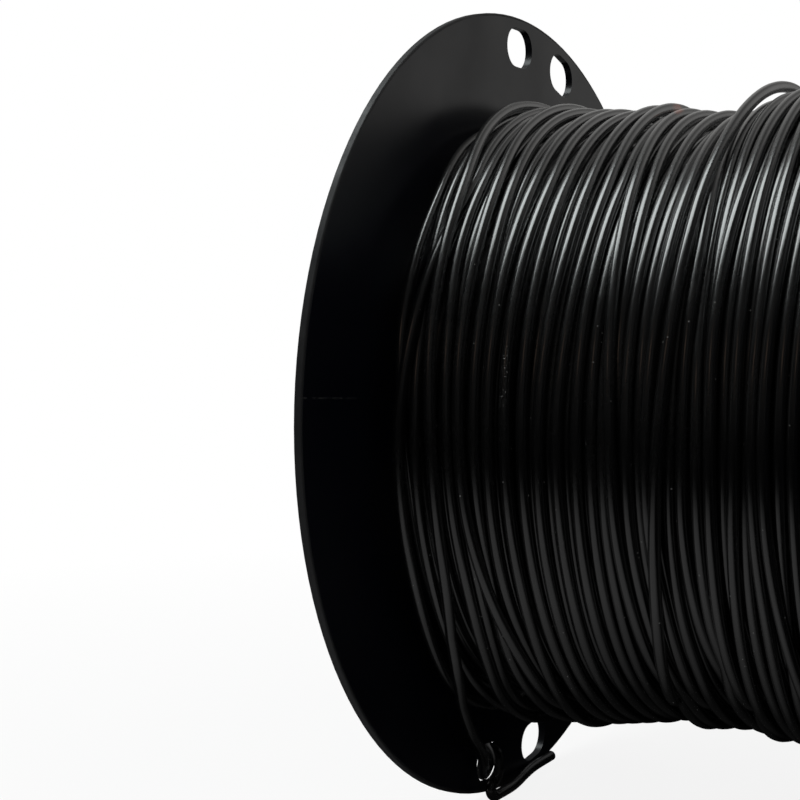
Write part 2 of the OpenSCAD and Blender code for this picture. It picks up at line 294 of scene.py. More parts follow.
LOOSE_BOW = (
    (40, 0.2), (60, 1.1), (76, 1.8), (92, 1.7), (112, 1.6),
    (150, 1.1), (225, 1.0), (245, 0.4), (262, 0.0),
)
RIDING_BOW = ((80, -0.2), (120, 0.2), (225, 0.2), (245, -0.4), (280, -0.3), (310, 0.0))
PRESSED_BOW = ((80, 0.0), (110, -0.2), (230, -0.2), (250, -0.8), (290, -0.6), (310, 0.0))
CROSSING_BOW = ((80, 0.0), (110, 0.3), (235, 0.3), (255, -0.3), (290, -0.3), (310, 0.0))
OUTER_ROWS = [
    (0.0, 56.3, 56.3, 56.2, 56.3, 56.3, 56.3, 56.3, 56.3, 56.2, 54.9),
    (0.0, 53.5, 53.5, 53.6, 53.7, 53.7, 53.7, 53.7, 53.6, 53.6, 52.0),
    (0.0, 50.4, 50.4, 50.5, 50.4, 50.4, 50.4, 50.4, 50.4, 50.4, 48.8),
    (0.0, 47.3, 47.3, 47.4, 47.4, 47.4, 47.3, 47.4, 47.3, 47.3, 45.8),
    (0.0, 44.2, 44.2, 44.2, 44.2, 44.1, 44.3, 44.1, 43.9, 43.6, 39.9),
    (0.3, 38.8, 38.7, 38.5, 38.1, 38.0, 38.7, 40.0, 41.0, 41.4, 42.8),
    (0.0, 41.6, 41.6, 41.5, 41.3, 41.3, 40.9, 40.2, 38.8, 37.5, 35.7),
    (0.0, 33.9, 34.7, 35.1, 35.3, 35.4, 35.7, 36.0, 35.3, 34.2, 32.6),
    (sunk_at_foot(-0.4, -0.3), 29.5, 30.2, 30.8, 31.3, 31.6, 30.7, 29.4, 28.1, 26.6, 29.7),
    (RIDING_BOW, 25.6, 25.9, 25.4, 25.4, 26.0, 25.7, 25.0, 24.5, 23.7, 26.8),
    (-0.2, 21.7, 22.9, 23.4, 24.0, 24.4, 24.3, 23.9, 23.9, 23.9, 23.9),
    (sunk_at_foot(-0.6, -0.5), 18.3, 19.6, 20.8, 22.0, 23.2, 23.3, 23.1, 22.5, 21.8, 21.0),
    (sunk_at_foot(-0.8, -0.6, 285), 16.1, 18.1, 19.6, 20.0, 19.8, 19.3, 19.9, 21.0, 20.6, 18.2),
    (-0.2, 14.7, 15.9, 17.1, 17.3, 16.9, 16.1, 15.7, 15.6, 14.8, 15.3),
    (LOOSE_BOW, 17.8, 17.1, 16.8, 16.2, 15.1, 13.5, 11.1, 7.9, 4.7, 0.9),
    (0.0, 0.4, 2.0, 2.9, 3.7, 4.9, 5.3, 5.9, 6.5, 6.6, 6.6),
    (0.0, 5.3, 6.1, 6.1, 6.1, 6.5, 6.6, 7.0, 7.7, 7.9, 9.5),
    (sunk_at_foot(-0.45, -0.4), 10.7, 11.4, 11.4, 11.2, 11.0, 10.9, 11.8, 11.9, 11.1, 12.4),
    (-0.3, 8.7, 9.1, 9.1, 9.0, 9.1, 9.1, 9.4, 9.6, 9.7, 3.8),
    (-0.2, 0.1, 0.2, 0.4, 0.5, 0.9, 0.8, 0.8, 0.4, -0.1, -4.9),
    (0.5, -3.3, -1.4, 0.3, 2.1, 3.4, 4.0, 4.9, 5.4, 5.4, -2.0),
    (-0.3, -3.1, -2.3, -2.1, -2.1, -2.0, -2.1, -2.4, -2.8, -3.2, -7.8),
    (0.0, -6.3, -4.8, -5.0, -5.2, -5.2, -5.3, -5.6, -6.0, -6.1, -10.6),
    (raised_at_top(0.3, 1.0), -9.4, -8.4, -8.5, -9.1, -9.8, -9.7, -9.8, -10.4, -11.0, -13.5),
    (raised_at_top(0.2, 0.7), -13.8, -13.1, -12.9, -13.5, -14.0, -14.2, -14.3, -14.7, -15.1, -17.1),
    (0.0, -19.2, -18.6, -18.3, -18.1, -17.9, -17.7, -17.7, -17.9, -18.6, -21.1),
    (0.0, -23.5, -22.4, -22.4, -22.3, -21.9, -21.6, -21.5, -22.3, -24.2, -25.9),
    (PRESSED_BOW, -27.6, -26.7, -26.5, -26.3, -26.1, -26.0, -25.9, -25.4, -25.9, -32.2),
    (CROSSING_BOW, -37.2, -35.0, -33.8, -33.2, -32.5, -31.5, -29.0, -26.6, -26.2, -29.3),
    (-0.2, -33.6, -31.8, -30.4, -29.8, -29.4, -29.2, -29.4, -30.5, -31.1, -35.6),
    (0.0, -40.1, -39.3, -38.6, -36.8, -35.7, -35.1, -34.8, -36.5, -40.1, -41.7),
    (0.0, -43.3, -41.8, -44.0, -46.0, -47.8, -48.3, -48.7, -50.4, -53.3, -51.1),
    (-0.3, -48.9, -47.4, -46.0, -44.9, -44.2, -44.1, -44.2, -44.8, -44.9, -45.6),
]
LAST_ROW_ANGLES = [120, 135, 150, 165, 180, 190, 200, 205, 210, 214]
LAST_ROW = [-46.3, -42.7, -41.1, -39.9, -38.5, -38.1, -38.4, -38.8, -39.6, -40.6]
LAST_LEVEL = 1.0
TURN_LAST = np.array([-41.8015, -65.3438, -51.0521])

# The layer under it, from left to right: a level and the row's x where a gap shows it,
# or one x all round.
UNDER_LEVEL = -1.7
DEEP_LEVEL = -3.0
UNDER_ROWS = [
    (((165, -0.6), (195, -2.6)), -54.0, -51.2, -50.5, -50.0, -48.9, -48.6, -48.8, -49.5, -51.0),
    *((DEEP_LEVEL, *[x] * len(ROW_ANGLES)) for x in (-46.2, -43.2, -40.2)),
    (-0.5, -37.0, -37.0, -36.7, -35.6, -34.5, -33.5, -33.0, -34.8, -38.6),
    -32.0,
    (-1.0, -31.2, -30.5, -29.7, -29.1, -28.7, -28.6, -28.8, -29.4, -29.5),
    -26.0, -23.0, -20.0,
    (-1.0, -17.7, -16.8, -16.4, -16.3, -16.7, -17.0, -17.4, -17.9, -18.2),
    (-1.0, -13.1, -12.8, -12.5, -12.4, -12.6, -12.7, -13.0, -13.7, -13.9),
    (-1.0, -8.2, -8.2, -8.2, -8.2, -8.4, -8.5, -8.9, -9.3, -9.3),
    -5.2, -2.0, 1.2, 4.3, 7.3, 10.0,
    (-0.4, 11.6, 12.3, 12.7, 12.5, 12.2, 12.1, 12.6, 12.6, 12.1),
    15.6, 18.8, 22.0, 25.1,
    (-0.6, 27.6, 27.7, 27.9, 28.2, 28.9, 28.4, 27.4, 26.0, 25.5),
    31.0,
    (-0.3, 32.5, 32.5, 32.7, 33.4, 33.7, 33.4, 32.7, 32.0, 31.3),
    36.5, 39.7, 42.9, 46.2, 49.5, 52.8, 56.0,
]

STEPS = 180  # points to a turn
STEP_ANGLE = 360 / STEPS
START_ANGLE = 60  # where each layer's wire starts
LAY_HALF_WIDTH = 56.3  # no turn's centre lies beyond this
FRONT_FROM, FRONT_RISE = 70, 40
FRONT_TO, FRONT_FALL = 255, 45
SEED = 20
WANDER = 0.5  # sideways, behind the barrel
WAVES = 5
WAVE_SHARE = 2.2  # brings the sum of the waves back to about the size

# How the wires settle against each other
SETTLE_PASSES = 24
TOUCH = 2.66  # a crossing wire may press in a little
SIDE_BY_SIDE = 2.1  # nearer than this sideways, one lies over the other
RANK_PER_TURN = 0.004  # later turns lie outside earlier ones
RANK_APART = 0.3  # beyond this one wire always passes over the other
UPPER_OVER_UNDER = 0.1  # share of a parting that the upper wire takes over the lower layer
UPPER_SHARE = 0.25  # and within a layer
BESIDE = 1.2  # side by side: nearer than this in height, further apart in x
MOST_SIDEWAYS = 0.4  # in one pass
EASE = 0.6  # share of each parting that one pass takes
DRIFT_FRONT = 0.35  # how far a wire may drift from its row
DRIFT_BACK = 2.5  # and how much further behind the barrel
LEVEL_SMOOTHING = 30  # passes over the levels along each wire


def spline(t, x, at):
    """Values at `at` of a curve through the points (t, x): on each stretch a cubic with
    the slopes of the parabola through each point and its two neighbours."""
    t, x = np.asarray(t, float), np.asarray(x, float)
    h = np.diff(t)
    s = np.diff(x) / h
    slope = np.concatenate([[s[0]], (s[:-1] * h[1:] + s[1:] * h[:-1]) / (h[:-1] + h[1:]), [s[-1]]])
    i = np.clip(np.searchsorted(t, at, side="right") - 1, 0, len(h) - 1)
    p = (at - t[i]) / h[i]
    return (
        (2 * p**3 - 3 * p**2 + 1) * x[i]
        + (p**3 - 2 * p**2 + p) * h[i] * slope[i]
        + (3 * p**2 - 2 * p**3) * x[i + 1]
        + (p**3 - p**2) * h[i] * slope[i + 1]
    )


def front_share(angle):
    """1 over the front of the winding, 0 behind it, S-curves between."""
    a = angle % 360
    return smooth((a - FRONT_FROM) / FRONT_RISE) * (1 - smooth((a - FRONT_TO) / FRONT_FALL))


def chain_of_rows(rows, resting, last=None):
    """Angles, x and level along one wire wound row by row: a spline of x over the angle
    through every row's values, and each row's level in front with the resting level
    behind, or straight lines through its own (angle, level) pairs."""
    knots_t, knots_x, levels = [], [], []
    for i, (level, *xs) in enumerate(rows):
        knots_t += list(360 * i + ROW_ANGLES)
        knots_x += xs[: len(ROW_ANGLES)]
        levels.append(level)
        if len(xs) > len(ROW_ANGLES):
            knots_t.append(360 * i + 360)
            knots_x.append(xs[-1])
    if last is not None:
        knots_t += [360 * len(rows) + a for a in last[0]]
        knots_x += list(last[1])
        levels.append(last[2])
    first = knots_t[0] - ROW_ANGLES[0] + START_ANGLE
    angle = np.arange(first, knots_t[-1] + 0.1, STEP_ANGLE)
    x = spline(knots_t, knots_x, np.maximum(angle, knots_t[0]))
    front = front_share(angle)
    level = np.full(len(angle), resting, float)
    for i, own in enumerate(levels):
        here = angle // 360 == i
        if isinstance(own, tuple):
            level[here] = np.interp(angle[here] - 360 * i, *zip(*own))
        else:
            level[here] += (own - resting) * front[here]
    return angle, x, level


def under_rows():
    """The rows of the lower layer, with one x spread over all the row's angles."""
    rows = []
    for row in UNDER_ROWS:
        if isinstance(row, tuple):
            rows.append(row)
        else:
            rows.append((UNDER_LEVEL, *([row] * len(ROW_ANGLES))))
    return rows


def wander(angle, size, rng):
    """A slow wander: five sines of random wavelength between 50 and 200 degrees."""
    waves = rng.uniform(50, 200, WAVES)
    phases = rng.uniform(0, 2 * np.pi, WAVES)
    total = sum(np.sin(2 * np.pi * angle / w + p) for w, p in zip(waves, phases))
    return size * total / WAVE_SHARE


def lay_wires(outer, under):
    """Settles both layers. Wires start at the surface plus their level. Then, again and
    again, each pair closer than a diameter in the slice at one angle is parted: sideways
    where the two run side by side, and outwards and inwards where one passes over the
    other, with the one of higher rank outside. The shifts are smoothed along the wire
    after each pass, as a stiff wire bends."""
    chains = (outer, under)
    firsts = [int(round(angle[0] / STEP_ANGLE)) % STEPS for angle, _, _ in chains]
    counts = [-(-(f + len(chain[0])) // STEPS) for f, chain in zip(firsts, chains)]

    def to_slices(values, fill):
        grids = []
        for v, f, n in zip(values, firsts, counts):
            flat = np.full(n * STEPS, fill, float)
            flat[f : f + len(v)] = v
            grids.append(flat.reshape(n, STEPS))
        return np.vstack(grids)

    def to_chains(grid):
        parts = np.split(grid, [counts[0]])
        return [p.ravel()[f : f + len(chain[0])] for p, f, chain in zip(parts, firsts, chains)]

    def smoothed(values, passes):
        for _ in range(passes):
            values = values.copy()
            values[1:-1] = (values[:-2] + 2 * values[1:-1] + values[2:]) / 4
        return values

    levels = [smoothed(level, LEVEL_SMOOTHING) for _, _, level in chains]
    ranks = [lev + RANK_PER_TURN * chain[0] / 360 for lev, chain in zip(levels, chains)]
    rank = to_slices(ranks, 0.0)
    row_kind = np.repeat([0, 1], counts)
    lower = (row_kind[:, None] == 1)[..., None]
    there = to_slices([np.ones(len(chain[0])) for chain in chains], 0.0) > 0
    both = there[:, None] & there[None]
    both &= ~np.eye(len(row_kind), dtype=bool)[..., None]
    above = rank[:, None] > rank[None]
    apart = np.abs(rank[:, None] - rank[None]) > RANK_APART
    side_x = [np.zeros(len(chain[0])) for chain in chains]
    side_r = [np.zeros(len(chain[0])) for chain in chains]
    for _ in range(SETTLE_PASSES):
        x_now = [chain[1] + s for chain, s in zip(chains, side_x)]
        r_now = [
            crest(x) - WIRE_R + lev * LEVEL_STEP + hang(x, chain[0]) + s
            for x, lev, chain, s in zip(x_now, levels, chains, side_r)
        ]
        xs, rs = to_slices(x_now, 999.0), to_slices(r_now, 0.0)
        dx = xs[:, None] - xs[None]
        dr = rs[:, None] - rs[None]
        near = both & (np.abs(dx) < WIRE_D)
        # one over the other
        need = np.sqrt(np.maximum(TOUCH**2 - dx**2, 0))
        crossing = near & ((np.abs(dx) < SIDE_BY_SIDE) | apart)
        short = np.where(crossing & above, np.maximum(need - dr, 0), 0)
        # a wire of the outer layer does not move for one of the lower layer
        over_under = lower.transpose(1, 0, 2) & ~lower
        upper_share = np.where(over_under, UPPER_OVER_UNDER, UPPER_SHARE)
        up = (short * upper_share).max(1)
        down = (short * (1 - upper_share)).max(0)
        push_r = up - down
        # side by side
        one_layer = (row_kind[:, None] == row_kind[None])[..., None]
        beside = near & (np.abs(dr) < BESIDE) & (np.abs(dx) > BESIDE) & one_layer
        part = np.where(beside, np.sign(dx) * (WIRE_D - np.abs(dx)) / 2, 0)
        push_x = part.max(1) + part.min(1)
        push_x = np.clip(push_x, -MOST_SIDEWAYS, MOST_SIDEWAYS)
        for i, (px, pr) in enumerate(zip(to_chains(push_x), to_chains(push_r))):
            side_x[i] = smoothed(side_x[i] + EASE * px, 2)
            side_r[i] = smoothed(side_r[i] + EASE * pr, 3)
            limit = DRIFT_FRONT + DRIFT_BACK * (1 - front_share(chains[i][0]))
            side_x[i] = np.clip(side_x[i], -limit, limit)
    return x_now, r_now


rng = np.random.default_rng(SEED)
outer_chain = chain_of_rows(OUTER_ROWS, 0.0, (LAST_ROW_ANGLES, LAST_ROW, LAST_LEVEL))
under_chain = chain_of_rows(under_rows(), UNDER_LEVEL)
for chain in (outer_chain, under_chain):
    chain[1][:] += wander(chain[0], WANDER, rng) * (1 - front_share(chain[0]))
    np.clip(chain[1], -LAY_HALF_WIDTH, LAY_HALF_WIDTH, out=chain[1])
(outer_x, under_x), (outer_r, under_r) = lay_wires(outer_chain, under_chain)


def on_drum(x, r, angle):
    """Points at x and radius r round the spool's axis."""
    a = np.radians(angle)
    return np.stack([x, r * np.cos(a), r * np.sin(a)], -1)


def outward(angle):
    """Directions straight out from the axis."""
    a = np.radians(angle)
    return np.stack([np.zeros_like(a), np.cos(a), np.sin(a)], -1)


START_DEPTH = 4.0  # how far under its layer a wire starts
START_RISE = 60  # degrees until it is up
JOIN_TURN = 34  # degrees over which the last row comes to the tail
JOIN_DROP = 0.3
JOIN_STEPS = (0.0, 1.4, 2.8, 3.1)  # along the heading, past the end of the row
TAIL_ANGLE = 218.0
# the last row comes to the point where the tail starts
join_r = math.hypot(TURN_LAST[1], TURN_LAST[2])
end_share = smooth((outer_chain[0] - (outer_chain[0][-1] - JOIN_TURN)) / JOIN_TURN)
outer_r += (join_r - JOIN_DROP - outer_r[-1]) * end_share
# and the first ones come up from under the others
for (angle, _, _), r in zip((outer_chain, under_chain), (outer_r, under_r)):
    r -= START_DEPTH * (1 - smooth((angle - angle[0]) / START_RISE))
outer_path = on_drum(outer_x, outer_r, outer_chain[0])
joined = np.array([TURN_LAST + s * TURN_HEADING for s in JOIN_STEPS])
outer_path = np.vstack([outer_path, joined])
joined_out = np.repeat(outward(np.array([TAIL_ANGLE])), len(joined), 0)
outer_out = np.vstack([outward(outer_chain[0]), joined_out])
under_path = on_drum(under_x, under_r, under_chain[0])

PARTS = 3
OUTER_SIDES = 16
UNDER_SIDES = 12
UNDER_START = 3.7  # where the lower wire's pattern starts along it
winding = []
laid = 0.0
turn_starts = np.flatnonzero(outer_chain[0] % 360 == 0)  # behind the barrel
cuts = [0, *(turn_starts[len(turn_starts) * k // PARTS] for k in range(1, PARTS)), len(outer_path) - 1]
for i, letter in enumerate("abc"):
    piece = slice(cuts[i], cuts[i + 1] + 1)
    path, sides = outer_path[piece], outer_out[piece]
    obj, laid = tube("winding_outer_" + letter, path, OUTER_SIDES, WIRE_D, sides, laid)
    winding.append(obj)
under_out = outward(under_chain[0])
under_obj, _ = tube("winding_under", under_path, UNDER_SIDES, WIRE_D, under_out, UNDER_START)
winding.append(under_obj)


CORE_PITCH = 2.9
CORE_INSET = 0.3  # from each flange
CORE_DEPTH = 2.2  # more than two layers below the surface
LEFT_GAP = 9.0  # the core is lower by this beside the left flange
LEFT_GAP_FROM, LEFT_GAP_W = 36, 14


def core_surface():
    """A closed ring: round the barrel inside, and outside the tops of the turns of the
    next layer down, half circles a wire apart that follow the winding's surface."""
    x = np.linspace(-HALF_WIDTH + CORE_INSET, HALF_WIDTH - CORE_INSET, 321)
    dx = (x + 100 * CORE_PITCH) % CORE_PITCH - CORE_PITCH / 2
    half_circles = np.sqrt(np.maximum(WIRE_R**2 - dx**2, 0.2))
    top = crest(x) - WIRE_R - 2 * LEVEL_STEP - CORE_DEPTH + half_circles
    angle = np.arange(0, 360, 3.0)
    a = np.radians(angle)[:, None]
    left = LEFT_GAP * smooth((-x[None] - LEFT_GAP_FROM) / LEFT_GAP_W)
    r = top[None] + hang(x[None], angle[:, None]) - left
    inner = np.full((len(angle), 1), BARREL_R)
    profile_r = np.hstack([inner, r, inner])
    profile_x = np.concatenate([[x[0]], x, [x[-1]]])[None].repeat(len(angle), 0)
    points = np.stack([profile_x, profile_r * np.cos(a), profile_r * np.sin(a)], -1)
    points = np.vstack([points, points[:1]])
    return points[::-1]


core = mesh_from_grid("winding_core", core_surface(), closed_round=True)
winding.append(core)
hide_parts("inner_layers")
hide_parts("outer_layer")
for obj in winding:
    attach(obj, "root")


# ----------------------------------------------------------------- materials
def new_material(name):
    """A material, its node tree and its main shader."""
    material = bpy.data.materials.new(name)
    material.use_nodes = True
    tree = material.node_tree
    return material, tree, tree.nodes["Principled BSDF"]


def add(tree, kind, **values):
    """A node whose inputs, or settings where it has no such input, have the values."""
    node = tree.nodes.new(kind)
    for key, value in values.items():
        if key in node.inputs.keys():
            node.inputs[key].default_value = value
        else:
            setattr(node, key, value)
    return node


def math_node(tree, operation, a, b=None, clamp=False):
    """The result of an operation on numbers or on other nodes' results."""
    node = tree.nodes.new("ShaderNodeMath")
    node.operation = operation
    node.use_clamp = clamp
    for socket, value in ((0, a), (1, b)):
        if value is None:
            continue
        if isinstance(value, (int, float)):
            node.inputs[socket].default_value = value
        else:
            tree.links.new(value, node.inputs[socket])
    return node.outputs[0]


def ramp(tree, value, low, high, to_low=0.0, to_high=1.0):
    """A straight change from to_low at low to to_high at high, level beyond them."""
    node = add(tree, "ShaderNodeMapRange", clamp=True)
    node.inputs["From Min"].default_value = low
    node.inputs["From Max"].default_value = high
    node.inputs["To Min"].default_value = to_low
    node.inputs["To Max"].default_value = to_high
    tree.links.new(value, node.inputs["Value"])
    return node.outputs["Result"]


def noise(tree, vector, scale, detail=2.0, roughness=0.5):
    """Cloudy noise between 0 and 1, finer the larger the scale."""
    node = add(tree, "ShaderNodeTexNoise", Scale=scale, Detail=detail, Roughness=roughness)
    tree.links.new(vector, node.inputs["Vector"])
    return node.outputs["Fac"]


def blend_colour(tree, factor, first, second):
    """The first colour where the factor is 0 and the second where it is 1."""
    node = tree.nodes.new("ShaderNodeMix")
    node.data_type = "RGBA"
    tree.links.new(factor, node.inputs["Factor"])
    for socket, value in (("A", first), ("B", second)):
        sockets = [s for s in node.inputs if s.name == socket and s.type == "RGBA"]
        if isinstance(value, tuple):
            sockets[0].default_value = (*value, 1)
        else:
            tree.links.new(value, sockets[0])
    return [s for s in node.outputs if s.type == "RGBA"][0]


def specks(tree, vector, scale, size, share):
    """1 on small round specks: near the middles of those Voronoi cells whose random
    colour is under `share`."""
    cells = add(tree, "ShaderNodeTexVoronoi", Scale=scale, Randomness=1.0)
    tree.links.new(vector, cells.inputs["Vector"])
    near = ramp(tree, cells.outputs["Distance"], size * 0.6, size, 1, 0)
    split = tree.nodes.new("ShaderNodeSeparateColor")
    tree.links.new(cells.outputs["Color"], split.inputs["Color"])
    chosen = math_node(tree, "LESS_THAN", split.outputs[0], share)
    return math_node(tree, "MULTIPLY", near, chosen)


def near_line(tree, spot, first, last, inner, outer):
    """1 nearer than `inner` to the straight line between two points, 0 beyond `outer`.
    Millimetres. The distance is taken from the nearest point, which is the share of the
    way along the line that the dot product gives, kept between 0 and 1."""
    a, b = (Vector(p) * MM for p in (first, last))
    way = b - a
    start = add(tree, "ShaderNodeVectorMath", operation="SUBTRACT")
    tree.links.new(spot, start.inputs[0])
    start.inputs[1].default_value = a
    dot = add(tree, "ShaderNodeVectorMath", operation="DOT_PRODUCT")
    tree.links.new(start.outputs[0], dot.inputs[0])
    dot.inputs[1].default_value = way / way.length_squared
    share = math_node(tree, "MULTIPLY", dot.outputs["Value"], 1.0, clamp=True)
    reach = add(tree, "ShaderNodeVectorMath", operation="SCALE")
    reach.inputs[0].default_value = way
    tree.links.new(share, reach.inputs["Scale"])
    apart = add(tree, "ShaderNodeVectorMath", operation="DISTANCE")
    tree.links.new(start.outputs[0], apart.inputs[0])
    tree.links.new(reach.outputs[0], apart.inputs[1])
    return ramp(tree, apart.outputs["Value"], inner * MM, outer * MM, 1, 0)


# Worn places on the winding, whose pale flecks are partly painted glints: the line along which each lies
PALE_FLECKS_AND_GLINTS = (
    ((-20.9, -77, 28.3), (-22.2, -78.5, 6)),
    ((-11.9, -79.4, -3.0), (-12.9, -77.8, -15.0)),
    ((22.3, -76.6, 21.0), (22.5, -77.6, 18.0)),
)
SMEAR = ((-1.2, -78.9, 9.0), (-0.4, -79.3, 3.0))
ORANGE_MARK = ((2.9, -38, 73.2), (-9.8, -5, 77.4))


JACKET_BLACK = (0.0009, 0.0009, 0.001)
JACKET_DUST = (0.16, 0.16, 0.155)
FLECK_AND_GLINT_PALE = (0.5, 0.5, 0.48)
RUBBED_GREY = (0.02, 0.02, 0.02)
DAB_ORANGE = (0.3, 0.06, 0.02)


def wire_jacket_material():
    """Black extruded jacket: fine lengthwise ridges, a slowly changing gloss, dust, a few
    worn places with pale flecks that are partly wear and partly painted glints, and a dab of orange."""
    material, tree, shader = new_material("wire_jacket_black")
    place = tree.nodes.new("ShaderNodeTexCoord")
    uv, spot = place.outputs["UV"], place.outputs["Object"]
    stretch = add(tree, "ShaderNodeMapping")
    stretch.inputs["Scale"].default_value = (30, 1, 1)
    tree.links.new(uv, stretch.inputs["Vector"])
    lengthwise = noise(tree, stretch.outputs[0], 9, 3, 0.6)
    slow = noise(tree, spot, 60, 2)
    rough = math_node(
        tree,
        "ADD",
        ramp(tree, lengthwise, 0.3, 0.7, 0.22, 0.28),
        ramp(tree, slow, 0.35, 0.65, -0.03, 0.04),
    )
    dust = specks(tree, spot, 1100, 0.22, 0.016)
    places = [near_line(tree, spot, *line, 0.6, 1.5) for line in PALE_FLECKS_AND_GLINTS]
    places = math_node(tree, "ADD", places[0], math_node(tree, "ADD", *places[1:]))
    patchy = ramp(tree, noise(tree, spot, 330, 3, 0.7), 0.38, 0.55)
    places = math_node(tree, "MULTIPLY", places, patchy)
    # pale flecks: partly wear, partly painted glints, bright in noisy patches
    glint = ramp(tree, noise(tree, spot, 800, 1), 0.5, 0.62, 0.08, 0.8)
    worn_and_glints = math_node(tree, "MULTIPLY", specks(tree, spot, 3600, 0.45, 0.35), places)
    worn_and_glints = math_node(tree, "MULTIPLY", worn_and_glints, glint)
    rubbed = math_node(
        tree,
        "MULTIPLY",
        near_line(tree, spot, *SMEAR, 0.2, 1.3),
        ramp(tree, noise(tree, spot, 700, 3), 0.35, 0.65),
    )
    orange = math_node(
        tree,
        "MULTIPLY",
        near_line(tree, spot, *ORANGE_MARK, 0.6, 1.7),
        ramp(tree, noise(tree, spot, 900, 2), 0.3, 0.5, 0.5, 1),
    )
    colour = blend_colour(tree, dust, JACKET_BLACK, JACKET_DUST)
    colour = blend_colour(tree, worn_and_glints, colour, FLECK_AND_GLINT_PALE)
    colour = blend_colour(tree, rubbed, colour, RUBBED_GREY)
    colour = blend_colour(tree, orange, colour, DAB_ORANGE)
    tree.links.new(colour, shader.inputs["Base Color"])
    dusty = math_node(tree, "MULTIPLY", dust, 0.4)
    tree.links.new(math_node(tree, "ADD", rough, dusty), shader.inputs["Roughness"])
    shader.inputs["IOR"].default_value = 1.9
    shader.inputs["Coat Weight"].default_value = 1.0
    shader.inputs["Coat IOR"].default_value = 1.6
    shader.inputs["Coat Roughness"].default_value = 0.22
    bump = add(tree, "ShaderNodeBump", Strength=0.08, Distance=0.0002)
    tree.links.new(lengthwise, bump.inputs["Height"])
    tree.links.new(bump.outputs[0], shader.inputs["Normal"])
    return material


# A scratch and two nicks on the inner face of the flange at -X: from, to, half width
FLANGE_MARKS = (
    ((-58, -105, 6.7), (-58, -82, 5.6), 0.3),
    ((-58, -69.0, 79.2), (-58, -69.8, 78.4), 0.8),
    ((-58, -75.0, 73.9), (-58, -75.6, 73.1), 0.7),
)


# The rim edge of the flange is painted a paler grey: a painted sheen
RIM_SHEEN_GREY = (0.014, 0.014, 0.015)
RIM_SHEEN_FROM = 0.1041  # metres from the axis: the last millimetre of the rim, painted paler as a sheen


def moulded_material(name, colour, roughness, dusty=0.02, rim_sheen_from=None):
    """Black moulded plastic with a fine grain, faint cloudy gloss and dust. Beyond the
    radius rim_sheen_from it is rougher and painted a paler grey in patches, a painted sheen on the rim
    edge."""
    material, tree, shader = new_material(name)
    place = tree.nodes.new("ShaderNodeTexCoord")
    spot = place.outputs["Object"]
    cloudy = noise(tree, spot, 25, 4, 0.6)
    grain = noise(tree, spot, 1500, 2)
    dust = specks(tree, spot, 420, 0.16, dusty)
    pale = tuple(min(1, c * 10 + 0.06) for c in colour)
    darker, lighter = (tuple(c * share for c in colour) for share in (0.75, 1.25))
    tint = blend_colour(tree, cloudy, darker, lighter)
    tint = blend_colour(tree, dust, tint, pale)
    rough = ramp(tree, cloudy, 0.3, 0.7, roughness - 0.05, roughness + 0.07)
    rough = math_node(tree, "ADD", rough, math_node(tree, "MULTIPLY", dust, 0.3))
    if rim_sheen_from is not None:
        split = tree.nodes.new("ShaderNodeSeparateXYZ")
        tree.links.new(spot, split.inputs[0])
        across = tree.nodes.new("ShaderNodeCombineXYZ")
        tree.links.new(split.outputs["Y"], across.inputs["Y"])
        tree.links.new(split.outputs["Z"], across.inputs["Z"])
        radius = tree.nodes.new("ShaderNodeVectorMath")
        radius.operation = "LENGTH"
        tree.links.new(across.outputs[0], radius.inputs[0])
        # painted sheen: the rim edge painted a paler grey, in noisy patches
        edge = ramp(tree, radius.outputs["Value"], rim_sheen_from, rim_sheen_from + 0.0002)
        sheen_patches = ramp(tree, noise(tree, spot, 90, 4, 0.7), 0.3, 0.6, 0.6, 1)
        edge = math_node(tree, "MULTIPLY", edge, sheen_patches)
        tint = blend_colour(tree, edge, tint, RIM_SHEEN_GREY)
        rough = math_node(tree, "MAXIMUM", rough, math_node(tree, "MULTIPLY", edge, 0.6))
        for first, last, reach in FLANGE_MARKS:
            mark = near_line(tree, spot, first, last, 0.3 * reach, reach)
            mark = math_node(tree, "MULTIPLY", mark, ramp(tree, noise(tree, spot, 500, 2), 0.4, 0.6))
            tint = blend_colour(tree, mark, tint, RUBBED_GREY)
    tree.links.new(tint, shader.inputs["Base Color"])
    tree.links.new(rough, shader.inputs["Roughness"])
    bump = add(tree, "ShaderNodeBump", Strength=0.1, Distance=0.0001)
    tree.links.new(grain, bump.inputs["Height"])
    tree.links.new(bump.outputs[0], shader.inputs["Normal"])
    return material


def copper_material():
    """Bright drawn copper, a little browner in patches."""
    material, tree, shader = new_material("bright_copper")
    place = tree.nodes.new("ShaderNodeTexCoord")
    patches = noise(tree, place.outputs["Object"], 2500, 3)
    colour = blend_colour(tree, patches, (0.80, 0.42, 0.24), (0.55, 0.24, 0.12))
    tree.links.new(colour, shader.inputs["Base Color"])
    tree.links.new(ramp(tree, patches, 0.3, 0.7, 0.2, 0.35), shader.inputs["Roughness"])
    shader.inputs["Metallic"].default_value = 1
    return material


jacket = wire_jacket_material()
for obj in (wire_tail, *winding):
    obj.data.materials.append(jacket)
flange_black = moulded_material("flange_black", (0.0012, 0.0016, 0.004), 0.32, rim_sheen_from=RIM_SHEEN_FROM)
finishes = {
    "left_flange": flange_black,
    "right_flange": flange_black,
    "barrel": moulded_material("barrel_black", (0.012, 0.012, 0.014), 0.45),
    "arbor_tube": moulded_material("arbor_black", (0.016, 0.016, 0.018), 0.42),
    "tail_conductor": copper_material(),
}
for name, material in finishes.items():
    data = nodes[name].data
    data.materials.clear()
    data.materials.append(material)


# ----------------------------------------------------------------- floor and light
FLOOR_HALF = 6.0
FLOOR_DROP = 0.0002  # the floor lies this far under the rims


